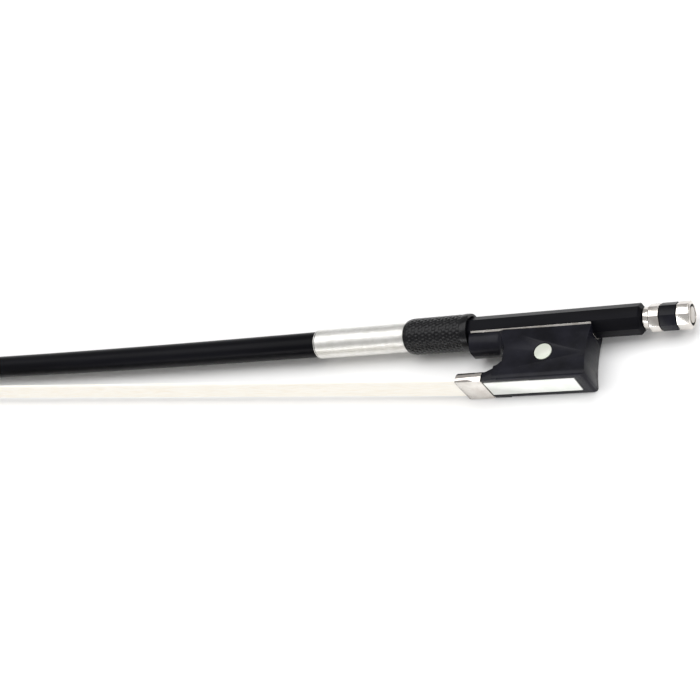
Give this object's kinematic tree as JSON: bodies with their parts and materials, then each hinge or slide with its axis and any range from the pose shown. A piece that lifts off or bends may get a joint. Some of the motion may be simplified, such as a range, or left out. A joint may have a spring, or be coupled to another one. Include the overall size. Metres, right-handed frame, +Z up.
{
  "type": "violin bow",
  "caption": "Violin bow lying on its side: cambered stick, sliding frog that carries the hair ribbon, and a turning screw button that draws it tight.",
  "frame": {"origin": "centre of the bottom face of the part's box, on the table it lies on", "axes": "+X along the screw towards the button, +Y from the hair to the stick, +Z up from the table"},
  "size_m": [0.744, 0.0546, 0.0128],
  "materials": {
    "stick": "satin",
    "winding": "satin",
    "thumb_leather": "satin",
    "head_plate_liner": "satin",
    "head_plate": "polished",
    "tip_plug": "plain",
    "tip_knot": "waxed",
    "hair": "silky",
    "frog_body": "polished",
    "ferrule": "polished",
    "pearl_slide": "pearly",
    "slide_backing": "plain",
    "near_eye": "pearly",
    "far_eye": "pearly",
    "underslide": "polished",
    "underslide_pin_front": "polished",
    "underslide_pin_rear": "polished",
    "eyelet": "satin",
    "frog_plug": "plain",
    "frog_knot": "waxed",
    "spread_wedge": "plain",
    "screw": "satin",
    "button_core": "polished",
    "button_front_ring": "polished",
    "button_rear_ring": "polished",
    "button_eye": "pearly"
  },
  "bodies": {
    "stick": {"stick": "stick", "head_plate_liner": "head_plate_liner", "head_plate": "head_plate", "tip_plug": "tip_plug", "tip_knot": "tip_knot", "winding": "winding", "thumb_leather": "thumb_leather", "hair": "hair"},
    "frog": {"frog_body": "frog_body", "near_eye": "near_eye", "far_eye": "far_eye", "ferrule": "ferrule", "pearl_slide": "pearl_slide", "slide_backing": "slide_backing", "underslide": "underslide", "underslide_pin_front": "underslide_pin_front", "underslide_pin_rear": "underslide_pin_rear", "frog_plug": "frog_plug", "frog_knot": "frog_knot", "spread_wedge": "spread_wedge", "eyelet": "eyelet"},
    "screw": {"screw": "screw", "button_front_ring": "button_front_ring", "button_rear_ring": "button_rear_ring", "button_core": "button_core", "button_eye": "button_eye"}
  },
  "joints": [
    {"name": "screw_turn", "type": "hinge", "parent": "stick", "child": "screw", "pos_m": [0.35833, -0.00605, 0.0064], "axis": [-1, 0, 0], "range_deg": [0, 3086]},
    {"name": "frog_slide", "type": "slide", "parent": "stick", "child": "frog", "axis": [1, 0, 0], "range_m": [0, 0.006], "deforming": ["hair"]}
  ],
  "couplings": [
    {"joint": "screw_turn", "follows": "frog_slide", "rad_per_m": 8976}
  ]
}
